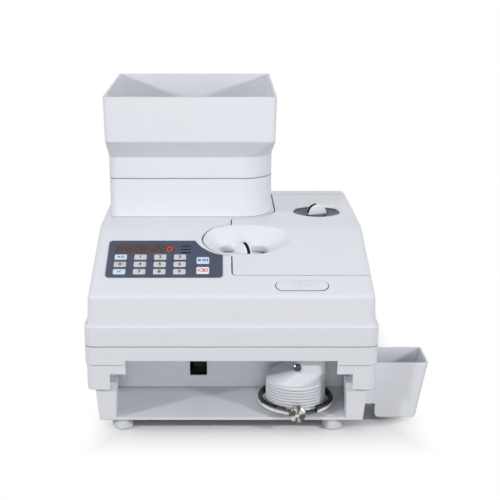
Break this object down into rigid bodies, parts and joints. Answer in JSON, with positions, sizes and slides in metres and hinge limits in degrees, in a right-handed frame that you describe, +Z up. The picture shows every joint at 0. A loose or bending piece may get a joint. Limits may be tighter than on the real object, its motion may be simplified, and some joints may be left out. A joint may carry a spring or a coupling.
{
  "type": "coin counter",
  "caption": "Desktop coin counting machine with square hopper, sloped keypad, hinged hatch with setting knobs, ribbed bag spout with clamp ring, and side reject tray.",
  "frame": {"origin": "under the middle of the whole machine, on the floor plane of its feet", "axes": "+Z up; the keypad and the bag spout face -Y; +X towards the reject tray"},
  "size_m": [0.399, 0.354, 0.3769],
  "materials": {
    "shell_plastic": "fine matte moulding grain",
    "foot_plastic": "smooth",
    "slate_film": "satin printed film",
    "slate_plastic": "satin",
    "display_red": "glossy dark window",
    "key_grey": "satin",
    "key_blue": "satin",
    "key_pink": "satin",
    "board_green": "solder mask",
    "bright_metal": "polished",
    "turned_steel": "turned",
    "sheet_metal": "brushed",
    "disc_plastic": "satin",
    "bearing_alloy": "cast",
    "pulley_plastic": "moulded",
    "belt_rubber": "matte",
    "motor_paint": "satin",
    "black_plastic": "fine grain",
    "chute_plastic": "satin"
  },
  "bodies": {
    "case": {"base_tub": "shell_plastic", "lower_case": "shell_plastic", "bay_liner": "shell_plastic", "top_cover": "shell_plastic", "hopper_base": "shell_plastic", "hopper_funnel": "shell_plastic", "spout": "shell_plastic", "feet": "foot_plastic", "keypad_overlay": "slate_film", "dial_dish": "slate_plastic", "display_window": "display_red", "keypad_board": "board_green", "main_board": "board_green", "clamp_ring": "bright_metal", "screws": "bright_metal", "hatch_pin": "turned_steel", "deck_plate": "sheet_metal", "coin_track": "sheet_metal", "retaining_ring": "sheet_metal", "track_bridge": "sheet_metal", "dial_bracket": "sheet_metal", "disc_bearing": "bearing_alloy", "power_supply": "bearing_alloy", "drive_belt": "belt_rubber", "transport_belt": "belt_rubber", "feed_motor": "motor_paint", "belt_motor": "motor_paint", "coin_sensor": "black_plastic", "power_inlet": "black_plastic", "coin_chutes": "chute_plastic"},
    "hatch": {"hatch_cover": "shell_plastic"},
    "hatch_button": {"hatch_button": "shell_plastic"},
    "thickness_dial": {"thickness_knob": "shell_plastic"},
    "gate": {"thickness_gate": "sheet_metal"},
    "diameter_dial": {"diameter_knob": "shell_plastic", "diameter_pinion": "pulley_plastic"},
    "rail": {"diameter_rail": "sheet_metal"},
    "clamp_nut": {"clamp_knob": "turned_steel"},
    "tray": {"reject_tray": "shell_plastic"},
    "disc": {"feed_disc": "disc_plastic", "disc_shaft": "turned_steel", "disc_pulley": "pulley_plastic"},
    "motor_wheel": {"motor_pulley": "pulley_plastic"},
    "belt_drive": {"belt_drive_pulley": "pulley_plastic"},
    "belt_idler": {"belt_idler_pulley": "pulley_plastic"},
    "rocker": {"switch_rocker": "black_plastic"},
    "key_c1_r1": {"key_c1_r1": "key_blue"},
    "key_c1_r2": {"key_c1_r2": "key_pink"},
    "key_c1_r3": {"key_c1_r3": "key_blue"},
    "key_c2_r1": {"key_c2_r1": "key_grey"},
    "key_c2_r2": {"key_c2_r2": "key_grey"},
    "key_c2_r3": {"key_c2_r3": "key_grey"},
    "key_c3_r1": {"key_c3_r1": "key_grey"},
    "key_c3_r2": {"key_c3_r2": "key_grey"},
    "key_c3_r3": {"key_c3_r3": "key_grey"},
    "key_c4_r1": {"key_c4_r1": "key_grey"},
    "key_c4_r2": {"key_c4_r2": "key_grey"},
    "key_c4_r3": {"key_c4_r3": "key_grey"},
    "key_upper_large": {"key_upper_large": "key_blue"},
    "key_lower_large": {"key_lower_large": "key_pink"}
  },
  "joints": [
    {"name": "hatch_swing", "type": "hinge", "parent": "case", "child": "hatch", "pos_m": [0.13121, -0.011, 0.1743], "axis": [0, 1, 0], "range_deg": [0, 100]},
    {"name": "hatch_button_press", "type": "slide", "parent": "case", "child": "hatch_button", "axis": [0, 0.3867, -0.9222], "range_m": [0, 0.002], "stiffness_N_per_m": 1500},
    {"name": "thickness_turn", "type": "hinge", "parent": "case", "child": "thickness_dial", "pos_m": [-0.017, -0.076, 0.19], "axis": [0, 0, 1], "range_deg": [-120, 120]},
    {"name": "gate_lift", "type": "slide", "parent": "case", "child": "gate", "axis": [0, 0, 1], "range_m": [-0.00157, 0.00157]},
    {"name": "diameter_turn", "type": "hinge", "parent": "case", "child": "diameter_dial", "pos_m": [0.0785, 0.02, 0.19], "axis": [0, 0, 1], "range_deg": [-75, 75]},
    {"name": "rail_slide", "type": "slide", "parent": "case", "child": "rail", "axis": [1, 0, 0], "range_m": [-0.00785, 0.00785]},
    {"name": "clamp_turn", "type": "hinge", "parent": "case", "child": "clamp_nut", "pos_m": [0.044, -0.174, 0.0265], "axis": [0, -1, 0], "continuous": true},
    {"name": "tray_pull", "type": "slide", "parent": "case", "child": "tray", "axis": [1, 0, 0], "range_m": [0, 0.06]},
    {"name": "disc_spin", "type": "hinge", "parent": "case", "child": "disc", "pos_m": [-0.067, 0.067, 0.15], "axis": [0, 0, 1], "continuous": true},
    {"name": "motor_spin", "type": "hinge", "parent": "case", "child": "motor_wheel", "pos_m": [0.03, 0.079, 0.11], "axis": [0, 0, 1], "continuous": true},
    {"name": "belt_drive_spin", "type": "hinge", "parent": "case", "child": "belt_drive", "pos_m": [-0.032, -0.049, 0.1696], "axis": [1, 0, 0], "continuous": true},
    {"name": "belt_idler_spin", "type": "hinge", "parent": "case", "child": "belt_idler", "pos_m": [-0.032, -0.007, 0.1696], "axis": [1, 0, 0], "continuous": true},
    {"name": "rocker_tilt", "type": "hinge", "parent": "case", "child": "rocker", "pos_m": [-0.111, 0.171, 0.071], "axis": [1, 0, 0], "range_deg": [-8, 8]},
    {"name": "key_c1_r1_press", "type": "slide", "parent": "case", "child": "key_c1_r1", "axis": [0, 0.3867, -0.9222], "range_m": [0, 0.0006], "stiffness_N_per_m": 2000},
    {"name": "key_c1_r2_press", "type": "slide", "parent": "case", "child": "key_c1_r2", "axis": [0, 0.3867, -0.9222], "range_m": [0, 0.0006], "stiffness_N_per_m": 2000},
    {"name": "key_c1_r3_press", "type": "slide", "parent": "case", "child": "key_c1_r3", "axis": [0, 0.3867, -0.9222], "range_m": [0, 0.0006], "stiffness_N_per_m": 2000},
    {"name": "key_c2_r1_press", "type": "slide", "parent": "case", "child": "key_c2_r1", "axis": [0, 0.3867, -0.9222], "range_m": [0, 0.0006], "stiffness_N_per_m": 2000},
    {"name": "key_c2_r2_press", "type": "slide", "parent": "case", "child": "key_c2_r2", "axis": [0, 0.3867, -0.9222], "range_m": [0, 0.0006], "stiffness_N_per_m": 2000},
    {"name": "key_c2_r3_press", "type": "slide", "parent": "case", "child": "key_c2_r3", "axis": [0, 0.3867, -0.9222], "range_m": [0, 0.0006], "stiffness_N_per_m": 2000},
    {"name": "key_c3_r1_press", "type": "slide", "parent": "case", "child": "key_c3_r1", "axis": [0, 0.3867, -0.9222], "range_m": [0, 0.0006], "stiffness_N_per_m": 2000},
    {"name": "key_c3_r2_press", "type": "slide", "parent": "case", "child": "key_c3_r2", "axis": [0, 0.3867, -0.9222], "range_m": [0, 0.0006], "stiffness_N_per_m": 2000},
    {"name": "key_c3_r3_press", "type": "slide", "parent": "case", "child": "key_c3_r3", "axis": [0, 0.3867, -0.9222], "range_m": [0, 0.0006], "stiffness_N_per_m": 2000},
    {"name": "key_c4_r1_press", "type": "slide", "parent": "case", "child": "key_c4_r1", "axis": [0, 0.3867, -0.9222], "range_m": [0, 0.0006], "stiffness_N_per_m": 2000},
    {"name": "key_c4_r2_press", "type": "slide", "parent": "case", "child": "key_c4_r2", "axis": [0, 0.3867, -0.9222], "range_m": [0, 0.0006], "stiffness_N_per_m": 2000},
    {"name": "key_c4_r3_press", "type": "slide", "parent": "case", "child": "key_c4_r3", "axis": [0, 0.3867, -0.9222], "range_m": [0, 0.0006], "stiffness_N_per_m": 2000},
    {"name": "key_upper_large_press", "type": "slide", "parent": "case", "child": "key_upper_large", "axis": [0, 0.3867, -0.9222], "range_m": [0, 0.0006], "stiffness_N_per_m": 2000},
    {"name": "key_lower_large_press", "type": "slide", "parent": "case", "child": "key_lower_large", "axis": [0, 0.3867, -0.9222], "range_m": [0, 0.0006], "stiffness_N_per_m": 2000}
  ],
  "couplings": [
    {"joint": "thickness_turn", "follows": "gate_lift", "rad_per_m": 1333.3},
    {"joint": "diameter_turn", "follows": "rail_slide", "rad_per_m": 166.67},
    {"joint": "motor_spin", "follows": "disc_spin", "ratio": 3.3333},
    {"joint": "belt_idler_spin", "follows": "belt_drive_spin", "ratio": 1}
  ]
}
